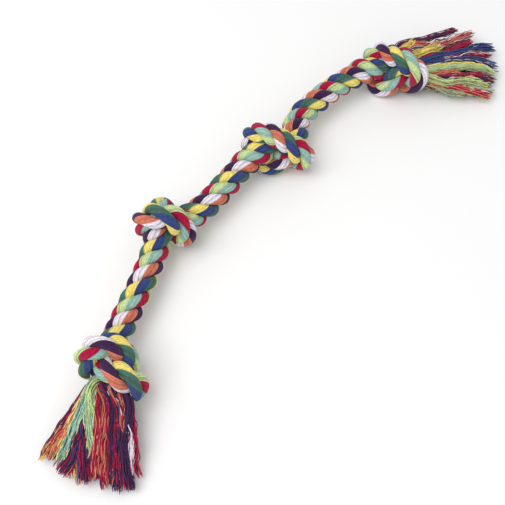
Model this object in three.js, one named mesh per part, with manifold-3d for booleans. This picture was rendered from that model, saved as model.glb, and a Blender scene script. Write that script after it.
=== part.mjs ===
// Knotted rope toy for a dog: one length of three-strand cotton rope with four overhand knots,
// three free spans between them and a frayed tassel at each end.
// Millimetres, +Z up, lying on the floor at z = 0.

import * as THREE from 'three';
import { mergeVertices } from 'three/addons/utils/BufferGeometryUtils.js';
import Module from 'manifold-3d';

// The rope
const DIAMETER = 20;
const PITCH = 2 * DIAMETER;              // length in which a strand goes once round the rope
const STRANDS = ['a', 'b', 'c'];
const SPAN_HELIX = 0.31 * DIAMETER;      // rope centre to strand centre in a free span
const SPAN_STRAND = 0.21 * DIAMETER;     // strand radius in a free span
const KNOT_HELIX = 0.255 * DIAMETER;     // the same two sizes where a knot squeezes the rope
const KNOT_STRAND = 0.167 * DIAMETER;
const SEAM_GAP = 0.3;                    // clearance between lengths of one strand
const ROOM = 0.015 * DIAMETER;           // room that each strand keeps round itself
const FLAT = 0.05 * DIAMETER;            // depth of the flat that the floor presses into a knot

// Where the rope runs
const HEIGHT = 1.02 * DIAMETER;          // rope centre above the floor in a free span
const COLLAR = 0.8 * DIAMETER;           // rope that shows outside a knot before the span begins
const SETTLED = 2 * DIAMETER;            // rope outside a knot whose strands give way with it
const TAIL = 0.7 * DIAMETER;             // rope left outside the end knots before it is frayed
const FRAY_GAP = 0.16 * DIAMETER;        // room for the strands' slanted ends before the fray

// Half of an overhand knot in rope diameters, from its middle to where the rope leaves.
// x runs along the rope and z points to the crossing turn; the other half is turned over.
const HALF_KNOT = [
  [0.00, 0.00, 0.92],
  [-0.18, 0.78, 0.88],
  [-0.42, 1.35, 0.41],
  [-0.68, 1.39, -0.32],
  [-0.80, 0.85, -0.88],
  [-0.64, 0.08, -0.94],
  [-0.25, -0.44, -0.52],
  [0.38, -0.46, -0.05],
];

// Places on the floor are in rope diameters, so that the whole toy grows with its rope.
// This one is the middle of the toy, where the part's origin is.
const CENTRE = [0.036, 0.054];

// Each knot: place on the floor, heading and roll in degrees, tightness, and the extra twist
// of the strands in degrees where the rope enters, at the middle and where it leaves.
const KNOTS = [
  { at: [-6.7, -6.35], heading: 88, roll: 225, tight: 0.65, twist: [144, 112, -27] },
  { at: [-5, -0.3], heading: 60, roll: 77, tight: 0.60, twist: [-58, 93, -16] },
  { at: [-0.65, 3.45], heading: 50, roll: 18, tight: 0.66, twist: [-23, -81, 137] },
  { at: [4.35, 7.7], heading: 38, roll: -20, tight: 0.59, twist: [142, 140, 195] },
];

// Points that the rope passes in each free span
const SPANS = [
  [[-6.55, -4.6], [-5.95, -2.95], [-5.45, -1.3]],
  [[-3.85, 0.45], [-2.85, 1.65], [-1.8, 3]],
  [[0.2, 5.05], [1.25, 6.25], [2.8, 7.45]],
];

// Frayed ends: how the rope leaves its knot, where the middle of the fray ends, and the
// colours of the nine cover yarns round the core, starting at the upper side
const TASSELS = [
  {
    leave: [-0.4, -1, -0.1], tip: [-7.35, -10, 0.375], spread: 4.3,
    yarns: ['purple', 'orange', 'navy', 'red', 'aqua', 'light_green', 'yellow', 'dark_green', 'white'],
  },
  {
    leave: [1, 0.35, -0.1], tip: [8.8, 8.75, 0.375], spread: 4.6,
    yarns: ['navy', 'yellow', 'orange', 'purple', 'white', 'dark_green', 'aqua', 'light_green', 'red'],
  },
];
const RING_RADIUS = 0.36 * DIAMETER;     // cover yarns sit on this circle where the fray begins
const YARN_RADIUS = 0.115 * DIAMETER;
const CORE_RADIUS = 0.22 * DIAMETER;
const SQUAT = 0.6;                       // how far the fray flattens towards its tips

// Facets
const STEP = PITCH / 24;                 // spacing of the points along the rope
const RING_EVERY = 2;
const SIDES = 8;
const FRAY_RINGS = 9;

const COLOURS = {
  a: '#b9a3b4', b: '#8f9a6a', c: '#b98d84', core: '#8a5a66',
  purple: '#46285a', white: '#e8e2eb', orange: '#d76e4b',
  yellow: '#ebd764', navy: '#324182', dark_green: '#3c785f',
  light_green: '#b4d782', aqua: '#87c3b4', red: '#b40f3c',
};

const vec = (p) => new THREE.Vector3(...p);
const onFloor = ([x, y], height) => vec([x * DIAMETER, y * DIAMETER, height]);
const smooth = (x) => THREE.MathUtils.smoothstep(x, 0, 1);

// Route points of one knot in the part's frame
function knotPoints(knot, height) {
  const turned = HALF_KNOT.slice(1).reverse().map(([x, y, z]) => [-x, -y, z]);
  const place = new THREE.Matrix4()
    .makeRotationZ(THREE.MathUtils.degToRad(knot.heading))
    .multiply(new THREE.Matrix4().makeRotationX(THREE.MathUtils.degToRad(knot.roll)));
  const middle = onFloor(knot.at, height);
  return [...turned, ...HALF_KNOT].map((p) => (
    vec(p).multiplyScalar(knot.tight * DIAMETER).applyMatrix4(place).add(middle)));
}

// The rope's centre line as points one STEP apart, with the length at each knot's ends
function ropeLine(heights) {
  const points = [];
  const marks = [];
  KNOTS.forEach((knot, i) => {
    const turn = knotPoints(knot, heights[i]);
    if (i === 0) {
      const out = vec(TASSELS[0].leave).setLength(TAIL);
      points.push(turn[0].clone().add(out), turn[0].clone().addScaledVector(out, 0.5));
    }
    marks.push([points.length, points.length + turn.length - 1]);
    points.push(...turn);
    if (i < SPANS.length) {
      points.push(...SPANS[i].map((place) => onFloor(place, HEIGHT)));
    }
  });
  const last = points[points.length - 1];
  const out = vec(TASSELS[1].leave).setLength(TAIL);
  points.push(last.clone().addScaledVector(out, 0.5), last.clone().add(out));

  const curve = new THREE.CatmullRomCurve3(points, false, 'centripetal');
  const parts = 40;
  const fine = [];
  for (let i = 0; i <= parts * (points.length - 1); i += 1) {
    fine.push(curve.getPoint(i / (parts * (points.length - 1))));
  }
  const reach = [0];
  for (let i = 1; i < fine.length; i += 1) {
    reach.push(reach[i - 1] + fine[i].distanceTo(fine[i - 1]));
  }
  const total = reach[reach.length - 1];
  const count = Math.round(total / STEP);
  const line = [];
  let k = 0;
  for (let i = 0; i <= count; i += 1) {
    const s = (total * i) / count;
    while (k < fine.length - 2 && reach[k + 1] < s) k += 1;
    line.push(fine[k].clone().lerp(fine[k + 1], (s - reach[k]) / (reach[k + 1] - reach[k])));
  }
  const step = total / count;
  return { line, step, ends: marks.map(([a, b]) => [reach[a * parts], reach[b * parts]]) };
}

// Direction of a line at one of its points
function heading(line, i) {
  const before = line[Math.max(i - 1, 0)];
  const after = line[Math.min(i + 1, line.length - 1)];
  return after.clone().sub(before).normalize();
}

// Direction, side and third axis at each point, carried along without twisting
function carriedFrames(directions) {
  let side = new THREE.Vector3(0, 0, 1);
  return directions.map((along) => {
    side = side.clone().addScaledVector(along, -side.dot(along)).normalize();
    return { along, side, third: along.clone().cross(side) };
  });
}

// Straight-line interpolation in a list of [place, value] pairs
function between(pairs, s) {
  if (s <= pairs[0][0]) return pairs[0][1];
  for (let i = 1; i < pairs.length; i += 1) {
    const [s0, v0] = pairs[i - 1];
    const [s1, v1] = pairs[i];
    if (s <= s1) return v0 + ((v1 - v0) * (s - s0)) / (s1 - s0);
  }
  return pairs[pairs.length - 1][1];
}

// One inside a knot, falling to nought over the collar of rope outside it
function squeeze(ends, s) {
  let most = 0;
  for (const [a, b] of ends) {
    const outside = Math.max(a - s, s - b, 0) / COLLAR;
    most = Math.max(most, 1 - smooth((outside - 0.25) / 0.75));
  }
  return most;
}

// Radius of a strand at a place on the rope
function strandRadius(ends, s) {
  return THREE.MathUtils.lerp(SPAN_STRAND, KNOT_STRAND, squeeze(ends, s));
}

// Let the strands of one knot push each other aside until none presses into another;
// keep holds the distance that each point keeps clear
function settle(strands, first, last, keep) {
  const rounds = 160;
  const held = 6;
  const n = last - first + 1;
  let at = strands.flatMap((strand) => strand.slice(first, last + 1).map((p) => p.clone()));
  const home = at.map((p) => p.clone());
  const lap = (i) => at[i - 1].clone().add(at[i + 1]).multiplyScalar(0.5).sub(at[i]);
  const isHeld = (i) => i % n < held || i % n >= n - held;
  for (let round = 0; round < rounds; round += 1) {
    const stiffness = 0.24 * (1 - (0.7 * round) / rounds);
    at = at.map((p, i) => {
      if (isHeld(i)) return p;
      const bend = lap(i - 1).add(lap(i + 1)).addScaledVector(lap(i), -2);
      return p.clone().addScaledVector(bend, -stiffness);
    });
    const push = at.map(() => new THREE.Vector3());
    const count = at.map(() => 0);
    for (let i = 0; i < at.length; i += 1) {
      for (let j = i + 1; j < at.length; j += 1) {
        const wanted = keep[i % n] + keep[j % n];
        const neighbours = Math.floor(i / n) === Math.floor(j / n) && (j - i) * STEP < 1.25 * wanted;
        const away = at[i].clone().sub(at[j]);
        const gap = away.length();
        if (!neighbours && gap < wanted) {
          away.multiplyScalar((0.5 * (wanted - gap)) / gap);
          push[i].add(away);
          push[j].sub(away);
          count[i] += 1;
          count[j] += 1;
        }
      }
    }
    at = at.map((p, i) => (
      isHeld(i) ? home[i] : p.clone().addScaledVector(push[i], 1 / Math.max(count[i], 1))));
  }
  strands.forEach((strand, k) => {
    for (let i = 0; i < n; i += 1) strand[first + i] = at[k * n + i];
  });
}

// Closed body from rings of points, each ring anticlockwise seen from its far side
function ringBody(rings) {
  const sides = rings[0].length;
  const positions = rings.flat().flatMap((p) => [p.x, p.y, p.z]);
  const index = [];
  for (let i = 0; i < rings.length - 1; i += 1) {
    for (let j = 0; j < sides; j += 1) {
      const a = i * sides + j;
      const b = i * sides + ((j + 1) % sides);
      index.push(a, b, b + sides, a, b + sides, a + sides);
    }
  }
  const end = (rings.length - 1) * sides;
  for (let j = 1; j < sides - 1; j += 1) {
    index.push(0, j + 1, j, end, end + j, end + j + 1);
  }
  const geometry = new THREE.BufferGeometry();
  geometry.setAttribute('position', new THREE.Float32BufferAttribute(positions, 3));
  geometry.setIndex(index);
  return geometry;
}

// A tube along points with a direction and a radius at each
function tube(points, directions, radii) {
  const frames = carriedFrames(directions);
  return ringBody(points.map((p, i) => {
    const ring = [];
    for (let j = 0; j < SIDES; j += 1) {
      const angle = (2 * Math.PI * j) / SIDES;
      ring.push(p.clone()
        .addScaledVector(frames[i].side, radii[i] * Math.cos(angle))
        .addScaledVector(frames[i].third, radii[i] * Math.sin(angle)));
    }
    return ring;
  }));
}

const wasm = await Module();
wasm.setup();

function solid(geometry) {
  return new wasm.Manifold(new wasm.Mesh({
    numProp: 3,
    vertProperties: new Float32Array(geometry.attributes.position.array),
    triVerts: new Uint32Array(geometry.index.array),
  }));
}

function toGeometry(body) {
  const mesh = body.getMesh();
  const geometry = new THREE.BufferGeometry();
  geometry.setAttribute('position', new THREE.Float32BufferAttribute(mesh.vertProperties, 3));
  geometry.setIndex(Array.from(mesh.triVerts));
  return geometry;
}

// Everything below the floor
const below = new THREE.BoxGeometry(50 * DIAMETER, 50 * DIAMETER, 5 * DIAMETER);
below.translate(0, 0, -2.5 * DIAMETER);
below.deleteAttribute('normal');
below.deleteAttribute('uv');
const ground = solid(mergeVertices(below));

// Take off what lies below the floor
function cutAtFloor(geometry) {
  geometry.computeBoundingBox();
  if (geometry.boundingBox.min.z > 0) return geometry;
  return toGeometry(solid(geometry).subtract(ground));
}

const toy = new THREE.Group();
toy.name = 'rope_dog_toy';

function addMesh(name, geometry, colour) {
  const middle = onFloor(CENTRE, 0);
  const flat = geometry.toNonIndexed().translate(-middle.x, -middle.y, 0);
  flat.computeVertexNormals();
  const material = new THREE.MeshStandardMaterial({ color: COLOURS[colour], roughness: 0.95 });
  const mesh = new THREE.Mesh(flat, material);
  mesh.name = name;
  toy.add(mesh);
}

// Lay the three strands round the rope's line, looser in the spans than in the knots
function layRope(heights) {
  const { line, step, ends } = ropeLine(heights);
  const frames = carriedFrames(line.map((_, i) => heading(line, i)));
  const twist = KNOTS.flatMap((knot, i) => {
    const [a, b] = ends[i];
    return [[a, knot.twist[0]], [(a + b) / 2, knot.twist[1]], [b, knot.twist[2]]];
  });
  const strands = STRANDS.map((_, k) => line.map((p, i) => {
    const s = i * step;
    const angle = (2 * Math.PI * (s - ends[0][0])) / PITCH
      + THREE.MathUtils.degToRad(between(twist, s) + 120 * k);
    const helix = THREE.MathUtils.lerp(SPAN_HELIX, KNOT_HELIX, squeeze(ends, s));
    return p.clone()
      .addScaledVector(frames[i].side, helix * Math.cos(angle))
      .addScaledVector(frames[i].third, helix * Math.sin(angle));
  }));
  ends.forEach(([a, b]) => {
    const first = Math.max(0, Math.round((a - SETTLED) / step));
    const last = Math.min(line.length - 1, Math.round((b + SETTLED) / step));
    const keep = [];
    for (let i = first; i <= last; i += 1) keep.push(strandRadius(ends, i * step) + ROOM);
    settle(strands, first, last, keep);
  });
  return { line, step, ends, frames, strands };
}

// Height above the floor of the lowest strand in each knot
function undersides({ ends, step, strands }) {
  return ends.map(([a, b]) => {
    const turns = strands.flatMap((strand) => strand.slice(Math.round(a / step), Math.round(b / step)));
    return Math.min(...turns.map((p) => p.z)) - KNOT_STRAND;
  });
}

// Every knot is let down until its lowest strand presses FLAT into the floor
let heights = KNOTS.map(() => HEIGHT);
let rope = layRope(heights);
for (let pass = 0; pass < 2; pass += 1) {
  const low = undersides(rope);
  heights = heights.map((height, i) => height - FLAT - low[i]);
  rope = layRope(heights);
}
const { line, step, ends, frames, strands } = rope;

// Length of one strand between two places on the rope, with half a gap left at each end
function strandLength(k, from, to) {
  const first = Math.round(from / step);
  const last = Math.round(to / step);
  const picks = [];
  for (let i = first; i < last - RING_EVERY / 2; i += RING_EVERY) picks.push(i);
  picks.push(last);
  const directions = picks.map((i) => heading(strands[k], i));
  const points = picks.map((i) => strands[k][i].clone());
  points[0].addScaledVector(directions[0], SEAM_GAP / 2);
  points[points.length - 1].addScaledVector(directions[points.length - 1], -SEAM_GAP / 2);
  const radii = picks.map((i) => strandRadius(ends, i * step));
  return tube(points, directions, radii);
}

const total = step * (line.length - 1);
ends.forEach(([a, b], i) => {
  const from = i === 0 ? 0 : a - COLLAR;
  const to = i === ends.length - 1 ? total : b + COLLAR;
  STRANDS.forEach((letter, k) => {
    addMesh(`knot_${i + 1}_strand_${letter}`, cutAtFloor(strandLength(k, from, to)), letter);
  });
});
SPANS.forEach((_, i) => {
  const from = ends[i][1] + COLLAR;
  const to = ends[i + 1][0] - COLLAR;
  STRANDS.forEach((letter, k) => {
    addMesh(`span_${i + 1}_strand_${letter}`, strandLength(k, from, to), letter);
  });
});

// A frayed end: a core of mixed yarn and nine coloured yarns that fan out over the floor
TASSELS.forEach((tassel, t) => {
  const i = t === 0 ? 0 : line.length - 1;
  const along = frames[i].along.clone().multiplyScalar(t === 0 ? -1 : 1);
  const root = line[i].clone().addScaledVector(along, FRAY_GAP);
  const tip = vec(tassel.tip).multiplyScalar(DIAMETER);
  const reach = root.distanceTo(tip);
  const centre = new THREE.CubicBezierCurve3(
    root,
    root.clone().addScaledVector(along, 0.35 * reach),
    tip.clone().setZ(tip.z + 0.05 * reach).lerp(root, 0.3),
    tip,
  );
  const across = tip.clone().sub(root).setZ(0).normalize().cross(new THREE.Vector3(0, 0, 1));
  const bundle = (name, x, y, radius, share, colour) => {
    const rings = [];
    for (let r = 0; r <= FRAY_RINGS; r += 1) {
      const u = (share * r) / FRAY_RINGS;
      const middle = centre.getPoint(u);
      const ahead = centre.getTangent(u);
      const wide = across.clone().addScaledVector(ahead, -across.dot(ahead)).normalize();
      const high = wide.clone().cross(ahead);
      const su = 1 + (tassel.spread - 1) * u;
      const sw = 1 + (SQUAT - 1) * smooth(u);
      const taper = r === FRAY_RINGS ? 0.5 : 1;
      const ring = [];
      for (let j = 0; j < SIDES; j += 1) {
        const angle = (-2 * Math.PI * j) / SIDES;
        ring.push(middle.clone()
          .addScaledVector(wide, su * (x + taper * radius * Math.cos(angle)))
          .addScaledVector(high, sw * (y + taper * radius * Math.sin(angle))));
      }
      rings.push(ring);
    }
    addMesh(`tassel_${t + 1}_${name}`, cutAtFloor(ringBody(rings)), colour);
  };
  bundle('core', 0, 0, CORE_RADIUS, 0.93, 'core');
  tassel.yarns.forEach((colour, n) => {
    const angle = (2 * Math.PI * n) / tassel.yarns.length;
    const share = 0.94 + 0.06 * Math.cos(2.4 * n);
    bundle(`yarn_${colour}`, RING_RADIUS * Math.sin(angle), RING_RADIUS * Math.cos(angle),
      YARN_RADIUS, share, colour);
  });
});

export default toy;
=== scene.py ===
import math

import bpy
import numpy as np
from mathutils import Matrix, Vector


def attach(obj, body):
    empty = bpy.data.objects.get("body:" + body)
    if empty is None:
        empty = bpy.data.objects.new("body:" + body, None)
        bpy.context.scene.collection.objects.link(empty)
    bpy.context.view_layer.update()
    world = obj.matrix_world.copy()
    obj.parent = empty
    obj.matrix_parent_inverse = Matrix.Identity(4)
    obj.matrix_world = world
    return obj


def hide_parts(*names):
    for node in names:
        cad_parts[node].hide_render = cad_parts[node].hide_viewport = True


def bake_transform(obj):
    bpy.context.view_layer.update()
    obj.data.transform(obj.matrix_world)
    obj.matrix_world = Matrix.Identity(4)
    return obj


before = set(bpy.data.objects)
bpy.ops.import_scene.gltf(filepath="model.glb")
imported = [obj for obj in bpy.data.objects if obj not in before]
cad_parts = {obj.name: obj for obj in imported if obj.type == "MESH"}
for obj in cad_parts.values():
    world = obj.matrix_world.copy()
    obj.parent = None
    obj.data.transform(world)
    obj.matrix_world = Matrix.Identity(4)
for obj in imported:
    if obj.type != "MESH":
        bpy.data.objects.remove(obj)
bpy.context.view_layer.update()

# The rope as in the CAD source, in millimetres
DIAMETER = 20.0
PITCH = 2 * DIAMETER
SPAN_HELIX = 0.31 * DIAMETER
SPAN_STRAND = 0.21 * DIAMETER
KNOT_HELIX = 0.255 * DIAMETER
KNOT_STRAND = 0.167 * DIAMETER
ROOM = 0.015 * DIAMETER
FLAT = 0.05 * DIAMETER
HEIGHT = 1.02 * DIAMETER
COLLAR = 0.8 * DIAMETER
SHOWN_COLLAR = 0.5 * DIAMETER
SETTLED = 2 * DIAMETER
TAIL = 0.7 * DIAMETER
STEP = PITCH / 24
COLLAR_HELD = 0.25
CURVE_PARTS = 40
LOWERINGS = 2
MM = 0.001

# How the strands of a knot push each other aside, also as in the CAD source
SETTLE_ROUNDS = 160
SETTLE_HELD = 6
SETTLE_STIFFNESS = 0.24
SETTLE_EASING = 0.7
NEIGHBOUR_REACH = 1.25

# Half the way through an overhand knot, then where the knots and spans lie and how the ends leave
CENTRE = np.array((0.72, 1.08, 0.0))
HALF_KNOT = [
    (0.00, 0.00, 0.92),
    (-0.18, 0.78, 0.88),
    (-0.42, 1.35, 0.41),
    (-0.68, 1.39, -0.32),
    (-0.80, 0.85, -0.88),
    (-0.64, 0.08, -0.94),
    (-0.25, -0.44, -0.52),
    (0.38, -0.46, -0.05),
]

KNOTS = [
    dict(at=(-134, -127), heading=88, roll=225, tight=0.65, twist=(144, 112, -27)),
    dict(at=(-100, -6), heading=60, roll=77, tight=0.60, twist=(-58, 93, -16)),
    dict(at=(-13, 69), heading=50, roll=18, tight=0.66, twist=(-23, -81, 137)),
    dict(at=(87, 154), heading=38, roll=-20, tight=0.59, twist=(142, 140, 195)),
]
SPANS = [
    [(-131, -92), (-119, -59), (-109, -26)],
    [(-77, 9), (-57, 33), (-36, 60)],
    [(4, 101), (25, 125), (56, 149)],
]
LEAVE = [(-0.4, -1, -0.1), (1, 0.35, -0.1)]

# The cotton: radius of a full strand, its yarns and their colours
SPAN_LOOK = 0.228 * DIAMETER
KNOT_LOOK = 0.22 * DIAMETER
YARNS = 24
COLUMNS = 4
RIDGE = 0.2
RIB = (-1.0, -0.25, 0.0, -0.25)
SWELL = 0.06
THIN_TAIL = 0.85
THIN_SOONER = 1.6
STEADY_REACH = 24
STEADY_LENGTH = 6
STRAND_CLEAR = 0.2
STRAND_APART = 10
STRAND_SHADES = (0.72, 1.22)
# Loose yarns get a wider, brighter shade range: besides random tone it paints highlights on them and
# makes up for the shade between yarns
YARN_SHADES_AND_HIGHLIGHTS = (0.72, 1.34)
FLECKS = (0.66, 1.3)
PLY_SLANT = 0.55
PLY_RELIEF = 0.35
SOFT_EDGE = 0.06
HARD_EDGE = 0.004
COLOURS = {
    "purple": (64, 33, 77),
    "white": (234, 227, 237),
    "orange": (212, 120, 94),
    "yellow": (235, 215, 116),
    "navy": (52, 69, 128),
    "dark_green": (75, 115, 99),
    "light_green": (198, 216, 153),
    "aqua": (157, 196, 184),
    "red": (173, 3, 62),
}
STRANDS = {
    "a": ("white", "orange", "purple"),
    "b": ("yellow", "navy", "dark_green"),
    "c": ("light_green", "aqua", "red"),
}
SOFT_EDGES = {("light_green", "aqua"), ("navy", "dark_green")}

# How far the colours of each strand are rolled, in degrees, at places along the rope
ROLLS = {
    "a": [
        (0, 180), (36, 175), (58, 44), (68, -8), (104, -40), (128, -50), (144, -75), (156, -85),
        (180, -50), (204, -50), (228, -10), (240, -40), (280, -40), (300, -90), (372, -155),
        (388, -135), (416, -180), (440, -180), (456, -220), (484, -170), (532, -300),
        (572, -300), (590, -385), (620, -480), (728, -480), (744, -520), (768, -470),
        (800, -470), (826, -530), (832, -560), (842, -690), (858, -682), (868, -668),
        (884, -664), (900, -592), (944, -570),
    ],
    "b": [
        (0, 80), (24, 42), (44, 64), (62, 172), (76, 180), (100, 200), (116, 230), (127, 265),
        (136, 250), (148, 230), (176, 285), (188, 280), (212, 340), (252, 350), (268, 350),
        (340, 185), (360, 182), (384, 180), (440, 150), (468, 220), (488, 200), (524, 290),
        (572, 290), (588, 320), (636, 290), (680, 400), (728, 240), (752, 250), (768, 210),
        (832, 190), (848, 150), (864, 108), (890, 160), (920, 230), (944, 210),
    ],
    "c": [
        (0, 80), (52, 150), (80, 152), (104, 170), (122, 190), (134, 150), (140, 95), (150, 40),
        (158, 5), (296, -20), (372, -210), (392, -310), (432, -240), (456, -150), (476, -180),
        (508, -110), (552, -130), (570, -125), (582, -100), (600, -40), (608, -40), (636, -110),
        (668, -130), (696, -130), (736, -40), (756, -60), (792, 30), (836, -125), (846, -155),
        (860, -170), (872, -150), (882, -140), (900, -40), (908, -10), (944, -40),
    ],
}

# Frayed ends: clumps of yarn, with the points that each passes and its yarns of each colour
TUFTS = [
    [
        (
            [
                (-146, -135, 25), (-149, -141, 25), (-151, -150, 24),
                (-155, -160, 21), (-160, -172, 16), (-166, -187, 10),
            ],
            dict(aqua=40, light_green=4),
        ),
        (
            [
                (-145, -135, 25), (-147, -143, 25), (-148, -152, 24), (-148, -162, 22),
                (-147, -172, 18), (-145, -180, 16), (-146, -189, 11),
            ],
            dict(aqua=20, light_green=30),
        ),
        (
            [(-146, -139, 28), (-149, -146, 28), (-148, -152, 25), (-146, -159, 23)],
            dict(light_green=36),
        ),
        (
            [(-148, -137, 24), (-153, -145, 22), (-158, -156, 20), (-164, -169, 16), (-171, -186, 10)],
            dict(light_green=18, yellow=6, orange=4),
        ),
        (
            [
                (-143, -140, 25), (-140, -146, 24), (-137, -153, 23), (-137, -162, 22),
                (-139, -176, 18), (-139, -190, 14), (-139, -199, 10),
            ],
            dict(orange=18, red=14, purple=6),
        ),
        (
            [(-145, -142, 23), (-143, -155, 22), (-141, -168, 20), (-142, -183, 16), (-143, -199, 10)],
            dict(red=36, purple=22, orange=10, white=3),
        ),
        (
            [(-139, -143, 22), (-135, -156, 22), (-134, -170, 19), (-131, -183, 16), (-132, -202, 10)],
            dict(red=26, purple=18, orange=10, white=3),
        ),
        (
            [
                (-138, -142, 24), (-133, -151, 24), (-130, -162, 22),
                (-131, -175, 18), (-130, -190, 14), (-131, -203, 8),
            ],
            dict(purple=40, red=18, navy=2, white=2),
        ),
        (
            [(-135, -143, 23), (-129, -156, 22), (-128, -168, 19), (-127, -183, 16), (-125, -206, 8)],
            dict(navy=8, purple=34, red=16, orange=4, white=3),
        ),
        (
            [(-135, -143, 28), (-132, -148, 25), (-128, -155, 24), (-126, -160, 22), (-124, -168, 19)],
            dict(white=5, purple=7, orange=4),
        ),
        (
            [(-132, -149, 22), (-124, -159, 20), (-120, -169, 20), (-118, -183, 16), (-119, -199, 8)],
            dict(white=30),
        ),
        (
            [(-139, -141, 28), (-135, -146, 25), (-133, -153, 24), (-132, -162, 22), (-133, -175, 18)],
            dict(purple=22, red=14, orange=2),
        ),
        (
            [(-128, -147, 24), (-126, -157, 23), (-126, -164, 22), (-124, -176, 18), (-122, -188, 14)],
            dict(orange=24, red=6),
        ),
        (
            [(-122, -148, 24), (-120, -159, 22), (-122, -170, 20), (-124, -184, 16), (-119, -206, 8)],
            dict(purple=48, navy=3, red=6),
        ),
        (
            [(-121, -150, 21), (-118, -168, 19), (-116, -179, 16), (-116, -189, 11), (-113, -199, 8)],
            dict(red=18),
        ),
        (
            [(-149, -144, 20), (-154, -169, 17), (-157, -180, 14), (-160, -189, 11), (-166, -197, 8)],
            dict(red=38, navy=5, purple=34, dark_green=2, orange=4),
        ),
        (
            [(-146, -145, 20), (-150, -170, 16), (-151, -184, 14), (-150, -202, 8)],
            dict(red=36, navy=5, purple=30, dark_green=2, orange=8),
        ),
        (
            [(-149, -139, 22), (-156, -153, 19), (-165, -169, 16), (-176, -185, 10)],
            dict(orange=18, yellow=6, red=10, purple=4),
        ),
        (
            [(-150, -138, 21), (-159, -152, 18), (-167, -164, 16), (-180, -184, 8)],
            dict(purple=22, red=6),
        ),
        (
            [(-151, -139, 20), (-162, -156, 16), (-172, -172, 13), (-182, -187, 8)],
            dict(yellow=10, orange=6),
        ),
        (
            [(-148, -141, 20), (-153, -163, 16), (-157, -186, 10), (-158, -200, 7)],
            dict(yellow=14),
        ),
        (
            [(-128, -151, 19), (-126, -176, 16), (-127, -192, 11), (-127, -207, 7)],
            dict(purple=36, navy=2, red=12, orange=4),
        ),
        (
            [(-145, -148, 19), (-146, -176, 16), (-145, -198, 8)],
            dict(navy=8, aqua=4, white=3, red=6),
        ),
        (
            [(-142, -147, 19), (-138, -176, 16), (-136, -204, 8)],
            dict(red=20, purple=16, orange=8, navy=4),
        ),
    ],
    [
        (
            [(91, 171, 30), (100, 177, 29), (113, 184, 24), (129, 194, 19), (148, 207, 12)],
            dict(purple=32, red=4, white=2),
        ),
        (
            [(86, 157, 35), (92, 162, 36), (100, 172, 32), (105, 178, 30)],
            dict(yellow=30),
        ),
        (
            [
                (99, 169, 30), (105, 174, 29), (118, 179, 24),
                (131, 182, 21), (146, 192, 17), (162, 204, 12),
            ],
            dict(orange=20, red=16, white=8, purple=6),
        ),
        (
            [(97, 157, 32), (105, 161, 31), (116, 168, 29), (131, 181, 21)],
            dict(yellow=46),
        ),
        (
            [(111, 162, 27), (129, 168, 23), (144, 180, 19), (160, 192, 14)],
            dict(red=28, purple=18, orange=6, white=4),
        ),
        (
            [
                (104, 153, 30), (112, 155, 29), (123, 162, 26),
                (147, 173, 19), (171, 188, 11), (182, 188, 9),
            ],
            dict(navy=52, purple=6, white=3),
        ),
        (
            [(106, 152, 29), (115, 153, 27), (142, 164, 21), (169, 169, 12), (180, 166, 9)],
            dict(navy=44, purple=6, white=3),
        ),
        (
            [(126, 159, 24), (158, 176, 16), (176, 180, 10)],
            dict(red=16, purple=14, orange=4, white=2),
        ),
        (
            [
                (108, 146, 28), (118, 149, 27), (128, 153, 24),
                (148, 159, 19), (168, 162, 12), (178, 158, 9),
            ],
            dict(light_green=40, aqua=6, yellow=6, orange=4),
        ),
        (
            [(108, 145, 26), (118, 145, 24), (135, 151, 21), (143, 151, 18), (158, 151, 14)],
            dict(orange=22, red=6),
        ),
        (
            [(116, 145, 22), (135, 147, 19), (156, 153, 14), (175, 153, 9)],
            dict(red=26, purple=18, navy=8, orange=5, white=2),
        ),
        (
            [(109, 143, 26), (119, 141, 23), (131, 140, 19), (148, 146, 15), (170, 146, 9)],
            dict(light_green=38, yellow=6, orange=5, aqua=3),
        ),
        (
            [(110, 143, 22), (122, 139, 18), (137, 137, 12), (148, 136, 9)],
            dict(aqua=14, light_green=14, orange=2),
        ),
        (
            [(118, 141, 19), (144, 139, 14), (162, 137, 9), (171, 135, 8)],
            dict(red=22, orange=18, light_green=8, white=2),
        ),
        (
            [(123, 141, 17), (154, 141, 11), (173, 139, 8)],
            dict(light_green=18, yellow=4, aqua=4, red=6),
        ),
        (
            [(112, 148, 19), (138, 147, 15), (170, 148, 8)],
            dict(dark_green=16, navy=6, red=4),
        ),
        (
            [(112, 163, 23), (133, 172, 20), (152, 190, 14)],
            dict(white=8, red=4),
        ),
    ],
]
YARN_RADIUS = 0.42
YARN_SIDES = 5
YARN_RINGS = 32
FILLERS = [
    ("red", "purple", "navy", "orange", "red", "purple"),
    ("light_green", "red", "orange", "light_green", "aqua", "purple"),
]
FILLER_COUNT = 260
FILLER_WIDE_END = 1.6
FILLER_WAVE = 1.3
FILLER_MIX = 0.5
SUNK = (0.15, 0.9)
UNDER = 0.4

# How the yarns of a clump start in the knot, spread, wave and end
ROOT_SHARE = 0.3
ROOT_DROP = 2.0
WIDE_END = 1.2
WAVE = 0.5
WAVE_LENGTHS = (16, 24)
WAVE_SIZES = (0.6, 1.3)
WAVE_SPREAD = 0.25
RIPPLE = 0.5
RIPPLE_RATE = 2.3
OVERRUN = 0.15
CUT_LENGTHS = (0.85, 1.0)
STRAYS = (1, 1, 1, 1.35)
PACKING = 0.95
FLATNESS = 0.8
YARN_CURVE_PARTS = 24
YARN_THICKNESS = (0.8, 1.2)
YARN_TIP = 0.45
YARN_CLEAR = 0.1
YARN_APART = 2.0

UP = np.array((0.0, 0.0, 1.0))
random = np.random.default_rng(20)


def unit(v):
    v = np.asarray(v, float)
    return v / np.linalg.norm(v, axis=-1, keepdims=True)


def smooth(x):
    x = np.clip(x, 0, 1)
    return x * x * (3 - 2 * x)


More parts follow.
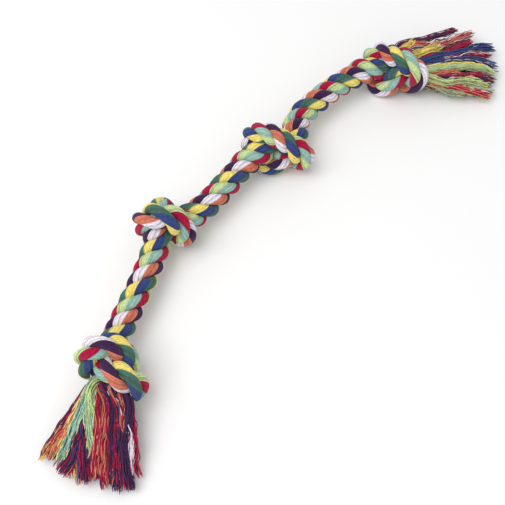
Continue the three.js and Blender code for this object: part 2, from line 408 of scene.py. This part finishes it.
def curve_through(points, parts):
    """Centripetal Catmull-Rom curve with that many steps between neighbouring points."""
    points = np.asarray(points, float)
    ends = np.vstack([2 * points[0] - points[1], points, 2 * points[-1] - points[-2]])
    t = np.arange(parts)[:, None] / parts
    pieces = []
    for p0, p1, p2, p3 in zip(ends[:-3], ends[1:-2], ends[2:-1], ends[3:]):
        d0, d1, d2 = (np.sqrt(np.linalg.norm(b - a)) for a, b in ((p0, p1), (p1, p2), (p2, p3)))
        m1 = d1 * ((p1 - p0) / d0 - (p2 - p0) / (d0 + d1) + (p2 - p1) / d1)
        m2 = d1 * ((p2 - p1) / d1 - (p3 - p1) / (d1 + d2) + (p3 - p2) / d2)
        c2 = 3 * (p2 - p1) - 2 * m1 - m2
        c3 = 2 * (p1 - p2) + m1 + m2
        pieces.append(p1 + t * (m1 + t * (c2 + t * c3)))
    return np.vstack([*pieces, points[-1:]])


def lengths(points):
    return np.concatenate([[0], np.cumsum(np.linalg.norm(np.diff(points, axis=0), axis=1))])


def at_lengths(points, s):
    reach = lengths(points)
    return np.column_stack([np.interp(s, reach, points[:, k]) for k in range(3)])


def headings(points):
    first, last = points[1:2] - points[:1], points[-1:] - points[-2:-1]
    return unit(np.vstack([first, points[2:] - points[:-2], last]))


def carried_sides(directions, side):
    """Side vectors carried along the directions without twisting."""
    sides = []
    for along in directions:
        side = unit(side - along * (side @ along))
        sides.append(side)
    return np.array(sides)


def knot_points(knot, height):
    """The places that the rope passes in one knot, turned and rolled as the knot lies."""
    turned = [(-x, -y, z) for x, y, z in reversed(HALF_KNOT[1:])]
    h, r = math.radians(knot["heading"]), math.radians(knot["roll"])
    about_z = np.array([[math.cos(h), -math.sin(h), 0], [math.sin(h), math.cos(h), 0], [0, 0, 1]])
    about_x = np.array([[1, 0, 0], [0, math.cos(r), -math.sin(r)], [0, math.sin(r), math.cos(r)]])
    points = np.array(turned + HALF_KNOT) * knot["tight"] * DIAMETER
    return points @ (about_z @ about_x).T + np.array((*knot["at"], height))


def rope_line(heights):
    """The rope's centre line in equal steps, the step, and the length at each knot's ends."""
    points, marks = [], []
    for i, knot in enumerate(KNOTS):
        turn = knot_points(knot, heights[i])
        if i == 0:
            out = unit(LEAVE[0]) * TAIL
            points += [turn[0] + out, turn[0] + out / 2]
        marks.append((len(points), len(points) + len(turn) - 1))
        points += list(turn)
        if i < len(SPANS):
            points += [np.array((x, y, HEIGHT)) for x, y in SPANS[i]]
    out = unit(LEAVE[1]) * TAIL
    points += [points[-1] + out / 2, points[-1] + out]
    fine = curve_through(points, CURVE_PARTS)
    reach = lengths(fine)
    count = round(reach[-1] / STEP)
    line = at_lengths(fine, np.linspace(0, reach[-1], count + 1))
    return line, reach[-1] / count, [(reach[a * CURVE_PARTS], reach[b * CURVE_PARTS]) for a, b in marks]


def squeeze(ends, s):
    """One inside a knot, falling to nought over the collar of rope outside it."""
    most = np.zeros_like(s)
    for a, b in ends:
        outside = np.maximum(np.maximum(a - s, s - b), 0) / COLLAR
        most = np.maximum(most, 1 - smooth((outside - COLLAR_HELD) / (1 - COLLAR_HELD)))
    return most


def settle(strands, first, last, keep):
    """Lets the strands of one knot push each other aside, as the CAD source does."""
    n = last - first + 1
    at = strands[:, first : last + 1].reshape(-1, 3).copy()
    home = at.copy()
    index = np.arange(3 * n)
    free = ((index % n >= SETTLE_HELD) & (index % n < n - SETTLE_HELD))[:, None]
    wanted = np.tile(keep, 3)[:, None] + np.tile(keep, 3)[None, :]
    near = np.abs(index[:, None] - index[None, :]) * STEP < NEIGHBOUR_REACH * wanted
    apart = ~(near & (index[:, None] // n == index[None, :] // n))
    for turn in range(SETTLE_ROUNDS):
        stiffness = SETTLE_STIFFNESS * (1 - SETTLE_EASING * turn / SETTLE_ROUNDS)
        lap = np.zeros_like(at)
        lap[1:-1] = (at[:-2] + at[2:]) / 2 - at[1:-1]
        bend = np.zeros_like(at)
        bend[1:-1] = lap[:-2] + lap[2:] - 2 * lap[1:-1]
        at = np.where(free, at - stiffness * bend, at)
        square = (at * at).sum(1)
        gap = np.sqrt(np.maximum(square[:, None] + square[None, :] - 2 * at @ at.T, 1e-9))
        touch = apart & (gap < wanted)
        weight = np.where(touch, 0.5 * (wanted - gap) / gap, 0)
        push = at * weight.sum(1)[:, None] - weight @ at
        at = np.where(free, at + push / np.maximum(touch.sum(1), 1)[:, None], home)
    strands[:, first : last + 1] = at.reshape(3, n, 3)


def lay_angle(ends, s):
    """How far the strands have gone round the rope."""
    places = [x for a, b in ends for x in (a, (a + b) / 2, b)]
    values = [x for knot in KNOTS for x in knot["twist"]]
    return 2 * math.pi * (s - ends[0][0]) / PITCH + np.radians(np.interp(s, places, values))


def lay_rope(heights):
    """Centre line, step, length at each knot's ends, side vectors and the three strands."""
    line, step, ends = rope_line(heights)
    s = step * np.arange(len(line))
    along = headings(line)
    side = carried_sides(along, UP)
    third = np.cross(along, side)
    tight = squeeze(ends, s)
    helix = SPAN_HELIX + (KNOT_HELIX - SPAN_HELIX) * tight
    strands = []
    for k in range(3):
        angle = lay_angle(ends, s) + math.radians(120 * k)
        across, over = (helix * np.cos(angle))[:, None], (helix * np.sin(angle))[:, None]
        strands.append(line + side * across + third * over)
    strands = np.array(strands)
    keep = SPAN_STRAND + (KNOT_STRAND - SPAN_STRAND) * tight + ROOM
    for a, b in ends:
        first = max(0, round((a - SETTLED) / step))
        last = min(len(line) - 1, round((b + SETTLED) / step))
        settle(strands, first, last, keep[first : last + 1])
    return line, step, ends, side, strands


def undersides(ends, step, strands):
    return [strands[:, round(a / step) : round(b / step), 2].min() - KNOT_STRAND for a, b in ends]


# Each knot is lowered until the floor flattens its underside by FLAT
heights = [HEIGHT] * len(KNOTS)
line, step, ends, side, strands = lay_rope(heights)
for _ in range(LOWERINGS):
    low = undersides(ends, step, strands)
    heights = [height - FLAT - x for height, x in zip(heights, low)]
    line, step, ends, side, strands = lay_rope(heights)
line = line - CENTRE
strands = strands - CENTRE


def doubled(values):
    """Points half a step apart on a smooth curve through the given ones."""
    padded = np.concatenate([2 * values[:1] - values[1:2], values, 2 * values[-1:] - values[-2:-1]])
    halves = (9 * (padded[1:-2] + padded[2:-1]) - padded[:-3] - padded[3:]) / 16
    out = np.empty((2 * len(values) - 1, *values.shape[1:]))
    out[0::2] = values
    out[1::2] = halves
    return out


# Materials


def linear(rgb):
    c = np.array(rgb) / 255
    return (*np.where(c < 0.04045, c / 12.92, ((c + 0.055) / 1.055) ** 2.4), 1.0)


def cotton(name, names):
    """Matte cotton yarn: each yarn a shade of its own, plies and fibres as fine relief.
    On a loose yarn the wider, brighter shade range also paints highlights on it and makes up for the
    shade between yarns.
    A strand has three colours side by side round it, and a loose yarn has one."""
    material = bpy.data.materials.new("cotton_" + name)
    material.use_nodes = True
    nodes, links = material.node_tree.nodes, material.node_tree.links
    shader = nodes["Principled BSDF"]
    shader.inputs["Roughness"].default_value = 0.95
    shader.inputs["Specular IOR Level"].default_value = 0.15
    shader.inputs["Sheen Weight"].default_value = 0.12
    shader.inputs["Sheen Roughness"].default_value = 0.6

    def node(kind, **values):
        made = nodes.new(kind)
        for key, value in values.items():
            setattr(made, key, value)
        return made

    uv = node("ShaderNodeUVMap", uv_map="yarn")
    parts = node("ShaderNodeSeparateXYZ")
    links.new(uv.outputs["UV"], parts.inputs[0])

    whole = node("ShaderNodeMath", operation="FLOOR")
    links.new(parts.outputs["X"], whole.inputs[0])
    shade = node("ShaderNodeTexWhiteNoise", noise_dimensions="1D")
    links.new(whole.outputs[0], shade.inputs["W"])

    fibres = node("ShaderNodeTexNoise")
    fibres.inputs["Scale"].default_value = 1.0
    fibres.inputs["Detail"].default_value = 4.0
    stretch = node("ShaderNodeMapping")
    stretch.inputs["Scale"].default_value = (1.7, 0.55, 1.0)
    links.new(uv.outputs["UV"], stretch.inputs["Vector"])
    links.new(stretch.outputs["Vector"], fibres.inputs["Vector"])

    slant = node("ShaderNodeMath", operation="MULTIPLY_ADD")
    slant.inputs[1].default_value = PLY_SLANT
    links.new(parts.outputs["Y"], slant.inputs[0])
    links.new(parts.outputs["X"], slant.inputs[2])
    turn = node("ShaderNodeMath", operation="MULTIPLY")
    turn.inputs[1].default_value = 2 * math.pi
    links.new(slant.outputs[0], turn.inputs[0])
    ply = node("ShaderNodeMath", operation="SINE")
    links.new(turn.outputs[0], ply.inputs[0])

    relief = node("ShaderNodeMath", operation="MULTIPLY_ADD")
    relief.inputs[1].default_value = PLY_RELIEF
    links.new(ply.outputs[0], relief.inputs[0])
    links.new(fibres.outputs["Fac"], relief.inputs[2])
    bump = node("ShaderNodeBump")
    bump.inputs["Strength"].default_value = 0.45
    bump.inputs["Distance"].default_value = 0.0004
    links.new(relief.outputs[0], bump.inputs["Height"])
    links.new(bump.outputs["Normal"], shader.inputs["Normal"])

    # Per-yarn shade: random tone, and on loose yarns also painted highlight and a lift against the shade
    # between yarns
    spread = node("ShaderNodeMapRange")
    shades = STRAND_SHADES if len(names) > 1 else YARN_SHADES_AND_HIGHLIGHTS
    spread.inputs["To Min"].default_value = shades[0]
    spread.inputs["To Max"].default_value = shades[1]
    links.new(shade.outputs["Value"], spread.inputs["Value"])
    fleck = node("ShaderNodeMapRange")
    fleck.inputs["From Min"].default_value = 0.3
    fleck.inputs["From Max"].default_value = 0.7
    fleck.inputs["To Min"].default_value = FLECKS[0]
    fleck.inputs["To Max"].default_value = FLECKS[1]
    links.new(fibres.outputs["Fac"], fleck.inputs["Value"])
    both = node("ShaderNodeMath", operation="MULTIPLY")
    links.new(spread.outputs["Result"], both.inputs[0])
    links.new(fleck.outputs["Result"], both.inputs[1])
    colour = node("ShaderNodeVectorMath", operation="SCALE")
    if len(names) == 1:
        colour.inputs[0].default_value = linear(COLOURS[names[0]])[:3]
    else:
        around = node("ShaderNodeMath", operation="DIVIDE")
        around.inputs[1].default_value = YARNS
        links.new(parts.outputs["X"], around.inputs[0])
        place = node("ShaderNodeMath", operation="FRACT")
        links.new(around.outputs[0], place.inputs[0])
        ramp = node("ShaderNodeValToRGB")
        stops = [(0.0, names[0])]
        for n in (1, 2):
            edge = SOFT_EDGE if (names[n - 1], names[n]) in SOFT_EDGES else HARD_EDGE
            stops += [(n / 3 - edge, names[n - 1]), (n / 3 + edge, names[n])]
        elements = ramp.color_ramp.elements
        elements.remove(elements[1])
        for n, (at, tint) in enumerate(stops):
            element = elements[0] if n == 0 else elements.new(at)
            element.position = at
            element.color = linear(COLOURS[tint])
        links.new(place.outputs[0], ramp.inputs["Fac"])
        links.new(ramp.outputs["Color"], colour.inputs[0])
    links.new(both.outputs[0], colour.inputs["Scale"])
    links.new(colour.outputs["Vector"], shader.inputs["Base Color"])
    return material


cottons = {name: cotton(name, (name,)) for name in COLOURS}


def add_mesh(name, rings, uvs, materials, face_material):
    """A closed tube for each row of rings: rings is (tubes, rings, sides, 3) in millimetres."""
    tubes, count, sides = rings.shape[:3]
    verts = rings.reshape(-1, 3)
    index = np.arange(tubes * count * sides).reshape(tubes, count, sides)
    ahead = np.roll(index, -1, axis=2)
    quads = np.stack([index[:, :-1], ahead[:, :-1], ahead[:, 1:], index[:, 1:]], axis=-1).reshape(-1, 4)
    middles = rings[:, [0, -1]].mean(axis=2).reshape(-1, 3)
    centre = (len(verts) + np.arange(2 * tubes)).reshape(tubes, 2, 1)
    first = np.stack([np.broadcast_to(centre[:, 0], (tubes, sides)), ahead[:, 0], index[:, 0]], axis=-1)
    last = np.stack([np.broadcast_to(centre[:, 1], (tubes, sides)), index[:, -1], ahead[:, -1]], axis=-1)
    tris = np.concatenate([first.reshape(-1, 3), last.reshape(-1, 3)])
    verts = np.concatenate([verts, middles]) * MM

    mesh = bpy.data.meshes.new(name)
    mesh.vertices.add(len(verts))
    mesh.vertices.foreach_set("co", verts.astype(np.float32).ravel())
    corners = np.concatenate([quads.ravel(), tris.ravel()]).astype(np.int32)
    mesh.loops.add(len(corners))
    mesh.loops.foreach_set("vertex_index", corners)
    starts = np.concatenate([4 * np.arange(len(quads)), 4 * len(quads) + 3 * np.arange(len(tris))])
    mesh.polygons.add(len(starts))
    mesh.polygons.foreach_set("loop_start", starts.astype(np.int32))
    per_quad = np.broadcast_to(face_material[:, None, :], (tubes, count - 1, sides)).ravel()
    per_tri = np.tile(face_material.ravel(), 2)
    mesh.polygons.foreach_set("material_index", np.concatenate([per_quad, per_tri]).astype(np.int32))
    mesh.update(calc_edges=True)
    mesh.polygons.foreach_set("use_smooth", np.ones(len(starts), bool))
    edges = np.empty(2 * len(mesh.edges), np.int32)
    mesh.edges.foreach_get("vertices", edges)
    row = np.where(edges < index.size, edges // sides % count, -1).reshape(-1, 2)
    rim = (row[:, 0] == row[:, 1]) & ((row[:, 0] == 0) | (row[:, 0] == count - 1))
    mesh.edges.foreach_set("use_edge_sharp", rim)

    # Around the tube the last column's far edge runs on, so that no yarn is squeezed at the seam
    u0, v = uvs[..., 0], uvs[..., 1]
    width = u0[:, :, 1:2] - u0[:, :, 0:1]
    u1 = u0 + width
    quad_u = np.stack([u0[:, :-1], u1[:, :-1], u1[:, 1:], u0[:, 1:]], axis=-1)
    quad_v = np.stack([v[:, :-1], v[:, :-1], v[:, 1:], v[:, 1:]], axis=-1)
    tri_u = np.stack([u0[:, [0, -1]]] * 3, axis=-1).transpose(1, 0, 2, 3)
    tri_v = np.stack([v[:, [0, -1]]] * 3, axis=-1).transpose(1, 0, 2, 3)
    flat = np.concatenate(
        [np.stack([quad_u, quad_v], -1).reshape(-1, 2), np.stack([tri_u, tri_v], -1).reshape(-1, 2)]
    )
    layer = mesh.uv_layers.new(name="yarn")
    layer.data.foreach_set("uv", flat.astype(np.float32).ravel())
    for material in materials:
        mesh.materials.append(material)
    made = bpy.data.objects.new(name, mesh)
    bpy.context.scene.collection.objects.link(made)
    return made


# The strands: each is worked out over the whole rope, so that its yarns run on from length to length

half = step / 2
fine_count = 2 * len(line) - 1
fine_s = half * np.arange(fine_count)
fine_side = unit(doubled(side))
fine_tight = squeeze(ends, fine_s)
look = SPAN_LOOK + (KNOT_LOOK - SPAN_LOOK) * fine_tight
to_end = np.minimum(fine_s, fine_s[-1] - fine_s)
look = look * (1 - THIN_TAIL * smooth(THIN_SOONER * (1 - to_end / TAIL)))
column_turn = 2 * math.pi * np.arange(YARNS * COLUMNS) / (YARNS * COLUMNS)
rib = np.tile(np.array(RIB), YARNS) * RIDGE


def strand_surface(k):
    """One strand over the whole rope: its centre line, and rings of points with a rib for each yarn."""
    centre = doubled(strands[k])
    along = headings(centre)
    first = carried_sides(along, fine_side[0])
    second = np.cross(along, first)
    lean = (fine_side * first).sum(1) + 1j * (fine_side * second).sum(1)
    window = np.exp(-0.5 * (np.arange(-STEADY_REACH, STEADY_REACH + 1) * half / STEADY_LENGTH) ** 2)
    lean = np.convolve(np.pad(lean, STEADY_REACH, mode="edge"), window / window.sum(), mode="valid")
    lean = np.unwrap(np.angle(lean))
    angle = lay_angle(ends, fine_s) + math.radians(120 * k)
    places, turns = zip(*ROLLS["abc"[k]])
    base = lean - 2 * angle - np.radians(np.interp(fine_s, places, turns))
    swell = np.repeat(random.normal(0, SWELL, YARNS), COLUMNS)
    turn = base[:, None] + column_turn[None, :]
    radius = look[:, None] + rib[None, :] + swell[None, :]
    points = (
        centre[:, None, :]
        + first[:, None, :] * (radius * np.cos(turn))[..., None]
        + second[:, None, :] * (radius * np.sin(turn))[..., None]
    )
    points[..., 2] = np.maximum(points[..., 2], STRAND_CLEAR)
    return centre, points


def span_body(i):
    return f"span_{i + 1}"


def knot_body(i):
    return f"knot_{i + 1}"


def metres(point):
    return tuple(float(x) * MM for x in point)


fine_line = doubled(line)
for k, letter in enumerate("abc"):
    centre, points = strand_surface(k)
    reach = lengths(centre)
    u = (np.arange(YARNS * COLUMNS) / COLUMNS)[None, :] + STRAND_APART * YARNS * k
    shape = points.shape[:2]
    uvs = np.stack([np.broadcast_to(u, shape), np.broadcast_to(reach[:, None], shape)], -1)
    tints = [cotton("strand_" + letter, STRANDS[letter])]
    numbers = np.zeros((1, YARNS * COLUMNS), int)

    def length_of_strand(name, start, end):
        made = add_mesh(name, points[None, start : end + 1], uvs[None, start : end + 1], tints, numbers)
        return made

    for i, (a, b) in enumerate(ends):
        start = 0 if i == 0 else round((a - SHOWN_COLLAR) / half)
        end = fine_count - 1 if i == len(ends) - 1 else round((b + SHOWN_COLLAR) / half)
        piece = length_of_strand(f"knot_{i + 1}_{letter}", start, end)
        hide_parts(f"knot_{i + 1}_strand_{letter}")
        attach(piece, knot_body(i))

    for i in range(len(SPANS)):
        start = round((ends[i][1] + SHOWN_COLLAR) / half)
        end = round((ends[i + 1][0] - SHOWN_COLLAR) / half)
        middle = (start + end) // 2
        marks = [metres(fine_line[n]) for n in (start, middle, end)]
        halves = [
            ("near", start, middle, knot_body(i), span_body(i), marks[0], marks[1]),
            ("far", middle, end, span_body(i), knot_body(i + 1), marks[1], marks[2]),
        ]
        for name, n0, n1, body_a, body_b, mark_a, mark_b in halves:
            piece = length_of_strand(f"span_{i + 1}_{letter}_{name}", n0, n1)
            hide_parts(f"span_{i + 1}_strand_{letter}")
            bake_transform(piece)


# The frayed ends


def clump_paths(points, count, wide_end, wave):
    """Wavy yarns that keep together along the points: (count, YARN_RINGS, 3)."""
    points = np.array(points, float)
    base = curve_through([*points, points[-1] + OVERRUN * (points[-1] - points[-2])], YARN_CURVE_PARTS)
    reach = lengths(base)[-1]
    u = np.linspace(0, 1, YARN_RINGS)
    base = at_lengths(base, u * reach)
    along = headings(base)
    across = unit(np.cross(along, UP))
    high = np.cross(across, along)
    turn = random.uniform(0, 2 * math.pi, count)
    out = np.sqrt(random.uniform(0, 1, count)) * random.choice(STRAYS, count)
    room = 1.0 + (wide_end - 1.0) * u[None, :]
    bundle = PACKING * math.sqrt(count) * YARN_RADIUS
    x = bundle * room * (out * np.cos(turn))[:, None]
    y = FLATNESS * bundle * room * (out * np.sin(turn))[:, None]
    cycles = reach / random.uniform(*WAVE_LENGTHS)
    shared = random.uniform(0, 1, 2)
    for target, offset in ((x, shared[0]), (y, shared[1])):
        phase = offset + random.normal(0, WAVE_SPREAD, count)
        own = random.uniform(0, 1, count)
        size = wave * random.uniform(*WAVE_SIZES, count)
        slow = np.sin(2 * math.pi * (cycles * u[None, :] + phase[:, None]))
        fast = np.sin(2 * math.pi * (RIPPLE_RATE * cycles * u[None, :] + own[:, None]))
        target += size[:, None] * smooth(2 * u)[None, :] * (slow + RIPPLE * fast)
    paths = base[None] + across[None] * x[..., None] + high[None] * y[..., None]
    stop = random.uniform(*CUT_LENGTHS, count)
    for n in range(count):
        paths[n] = at_lengths(paths[n], np.linspace(0, stop[n] * lengths(paths[n])[-1], YARN_RINGS))
    paths[..., 2] = np.maximum(paths[..., 2], YARN_RADIUS)
    return paths


def yarn_tubes(paths):
    """Rings of points round each path, and their places across and along the yarn."""
    count = len(paths)
    along = np.array([headings(path) for path in paths])
    across = unit(np.cross(along, UP))
    high = np.cross(across, along)
    thick = YARN_RADIUS * random.uniform(*YARN_THICKNESS, count)[:, None] * np.ones(YARN_RINGS)[None, :]
    thick[:, -1] *= YARN_TIP
    turn = -2 * math.pi * np.arange(YARN_SIDES) / YARN_SIDES
    ring = across[:, :, None] * np.cos(turn)[:, None] + high[:, :, None] * np.sin(turn)[:, None]
    rings = paths[:, :, None] + ring * thick[..., None, None]
    rings[..., 2] = np.maximum(rings[..., 2], YARN_CLEAR)
    across_yarn = np.arange(YARN_SIDES)[None, None, :] / YARN_SIDES
    u = np.arange(count)[:, None, None] * YARN_APART + across_yarn
    v = np.array([lengths(path) for path in paths])[..., None]
    shape = (count, YARN_RINGS, YARN_SIDES)
    return rings, np.stack([np.broadcast_to(u, shape), np.broadcast_to(v, shape)], -1)


for t, tufts in enumerate(TUFTS):
    knot = 0 if t == 0 else len(KNOTS) - 1
    middle = np.array((*KNOTS[knot]["at"], heights[knot])) - CENTRE

    def hang(piece, node):
        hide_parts(f"tassel_{t + 1}_{node}")
        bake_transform(piece)

    loose = {colour: [] for colour in COLOURS}
    tips = []
    for points, mix in tufts:
        start = np.array(points[0], float)
        inner = start + ROOT_SHARE * (middle - start) - ROOT_DROP * UP
        paths = clump_paths([inner, *points], sum(mix.values()), WIDE_END, WAVE)
        colours = random.permutation(np.repeat(list(mix), list(mix.values())))
        for path, colour in zip(paths, colours):
            loose[colour].append(path)
        tips.append([start, np.array(points[len(points) // 2], float), np.array(points[-1], float)])
    for colour, paths in loose.items():
        rings, uvs = yarn_tubes(np.array(paths))
        numbers = np.zeros((len(rings), YARN_SIDES), int)
        piece = add_mesh(f"tassel_{t + 1}_{colour}", rings, uvs, [cottons[colour]], numbers)
        hang(piece, "yarn_" + colour)

    # Filler yarn lies under the clumps and between them
    tips = np.array(tips)
    paths = []
    for n in range(FILLER_COUNT):
        one, other = random.integers(0, len(tips), 2)
        share = random.uniform(0, FILLER_MIX)
        points = tips[one] + share * (tips[other] - tips[one])
        sunk = random.uniform(*SUNK)
        points += UNDER * sunk * points[:, 2:] * (0, 1, 0)
        points[:, 2] *= 1 - sunk
        inner = points[0] + ROOT_SHARE * (middle - points[0])
        paths.append(clump_paths([inner, *points], 1, FILLER_WIDE_END, FILLER_WAVE))
    rings, uvs = yarn_tubes(np.concatenate(paths))
    kinds = sorted(set(FILLERS[t]))
    numbers = np.array([kinds.index(FILLERS[t][n % len(FILLERS[t])]) for n in range(FILLER_COUNT)])
    numbers = np.repeat(numbers[:, None], YARN_SIDES, axis=1)
    piece = add_mesh(f"tassel_{t + 1}_filler", rings, uvs, [cottons[name] for name in kinds], numbers)
    hang(piece, "core")

# Floor, light and camera, with places in metres

FLOOR_SIZE = 8
FLOOR_COLOUR = (0.97, 0.97, 0.97, 1)
WORLD_STRENGTH = 0.66
KEY_PLACE = (-0.7, -0.4, 1.5)
KEY_SIZE = 1.2
KEY_POWER = 15
SENSOR = 36
PHOTO_WIDTH = 505
FOCAL_PIXELS = 900
EYE = (-0.03522, -0.37408, 0.6176)
LOOK_AT = (-0.03522, -0.02908, 0.02)

bpy.ops.mesh.primitive_plane_add(size=FLOOR_SIZE)
floor = bpy.context.object
floor.name = "floor"
paper = bpy.data.materials.new("paper")
paper.use_nodes = True
matte = paper.node_tree.nodes["Principled BSDF"]
matte.inputs["Base Color"].default_value = FLOOR_COLOUR
matte.inputs["Roughness"].default_value = 1.0
matte.inputs["Specular IOR Level"].default_value = 0.0
floor.data.materials.append(paper)

world = bpy.data.worlds.new("studio")
bpy.context.scene.world = world
world.use_nodes = True
sky = world.node_tree.nodes["Background"]
sky.inputs["Color"].default_value = (1, 1, 1, 1)
sky.inputs["Strength"].default_value = WORLD_STRENGTH


def area_light(name, place, target, size, power):
    data = bpy.data.lights.new(name, "AREA")
    data.size = size
    data.energy = power
    made = bpy.data.objects.new(name, data)
    made.location = place
    made.rotation_euler = (Vector(target) - Vector(place)).to_track_quat("-Z", "Y").to_euler()
    bpy.context.scene.collection.objects.link(made)


area_light("key", KEY_PLACE, (0, 0, 0), KEY_SIZE, KEY_POWER)

camera_data = bpy.data.cameras.new("camera")
camera_data.sensor_width = SENSOR
camera_data.lens = SENSOR * FOCAL_PIXELS / PHOTO_WIDTH
camera = bpy.data.objects.new("camera", camera_data)
camera.location = EYE
target = Vector(LOOK_AT)
camera.rotation_euler = (target - camera.location).to_track_quat("-Z", "Y").to_euler()
bpy.context.scene.collection.objects.link(camera)
bpy.context.scene.camera = camera
bpy.context.scene.view_settings.view_transform = "Standard"
